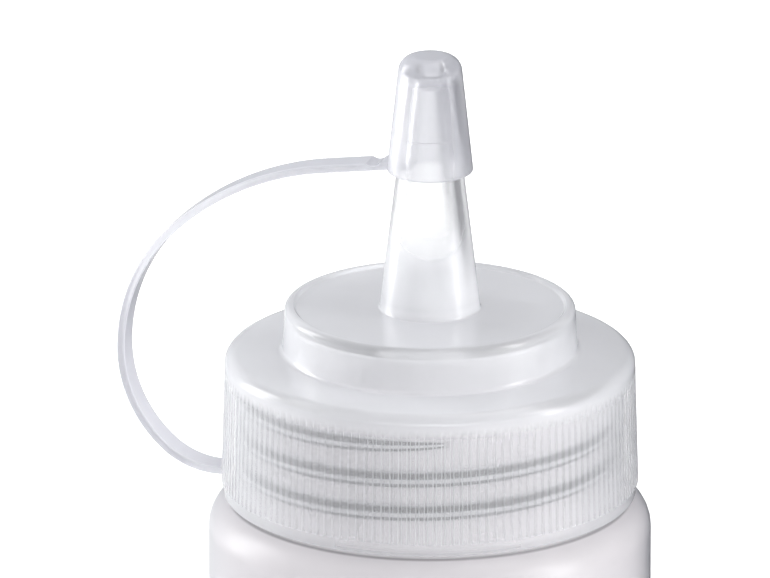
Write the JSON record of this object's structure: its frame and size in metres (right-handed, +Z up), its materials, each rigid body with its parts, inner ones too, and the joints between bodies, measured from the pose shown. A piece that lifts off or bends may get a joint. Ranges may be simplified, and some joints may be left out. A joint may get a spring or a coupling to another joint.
{
  "type": "squeeze bottle",
  "caption": "Translucent plastic squeeze bottle for sauces, with a ribbed screw cap, a conical nozzle and a tip cap held by a strap.",
  "frame": {"origin": "centre of the foot that the bottle stands on, on the bottle's axis", "axes": "+Z up along the bottle's axis, the strap loops out towards -X and a little towards +Y"},
  "size_m": [0.0688, 0.057, 0.1995],
  "materials": {
    "bottle_plastic": "satin natural polyethylene, milky and see-through enough to show what is inside",
    "cap_plastic": "glossy natural polypropylene, milky and see-through enough to show the neck's thread",
    "tip_plastic": "glossy natural polyethylene, a little clearer than the cap"
  },
  "bodies": {
    "root": {"bottle": "bottle_plastic", "screw_cap": "cap_plastic", "tip_cap": "tip_plastic"}
  },
  "joints": []
}
